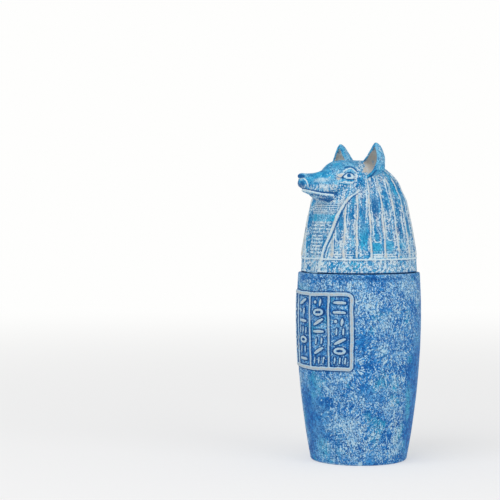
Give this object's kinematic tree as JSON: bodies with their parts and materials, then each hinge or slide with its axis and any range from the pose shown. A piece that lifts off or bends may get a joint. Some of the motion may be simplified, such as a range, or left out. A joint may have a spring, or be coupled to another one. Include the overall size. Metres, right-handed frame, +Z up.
{
  "type": "canopic jar",
  "caption": "Canopic jar copy with a lift-off jackal-head lid, striped wig, tapering hollow body and a raised panel of plain strokes.",
  "frame": {"origin": "centre of the jar's underside", "axes": "+Z up along the jar's axis, the jackal looks along -Y, +X to the jackal's left"},
  "size_m": [0.0788, 0.0853, 0.2],
  "materials": {
    "painted_jar": "satin",
    "painted_lid": "satin"
  },
  "bodies": {
    "root": {"jar": "painted_jar", "lid": "painted_lid"}
  },
  "joints": []
}
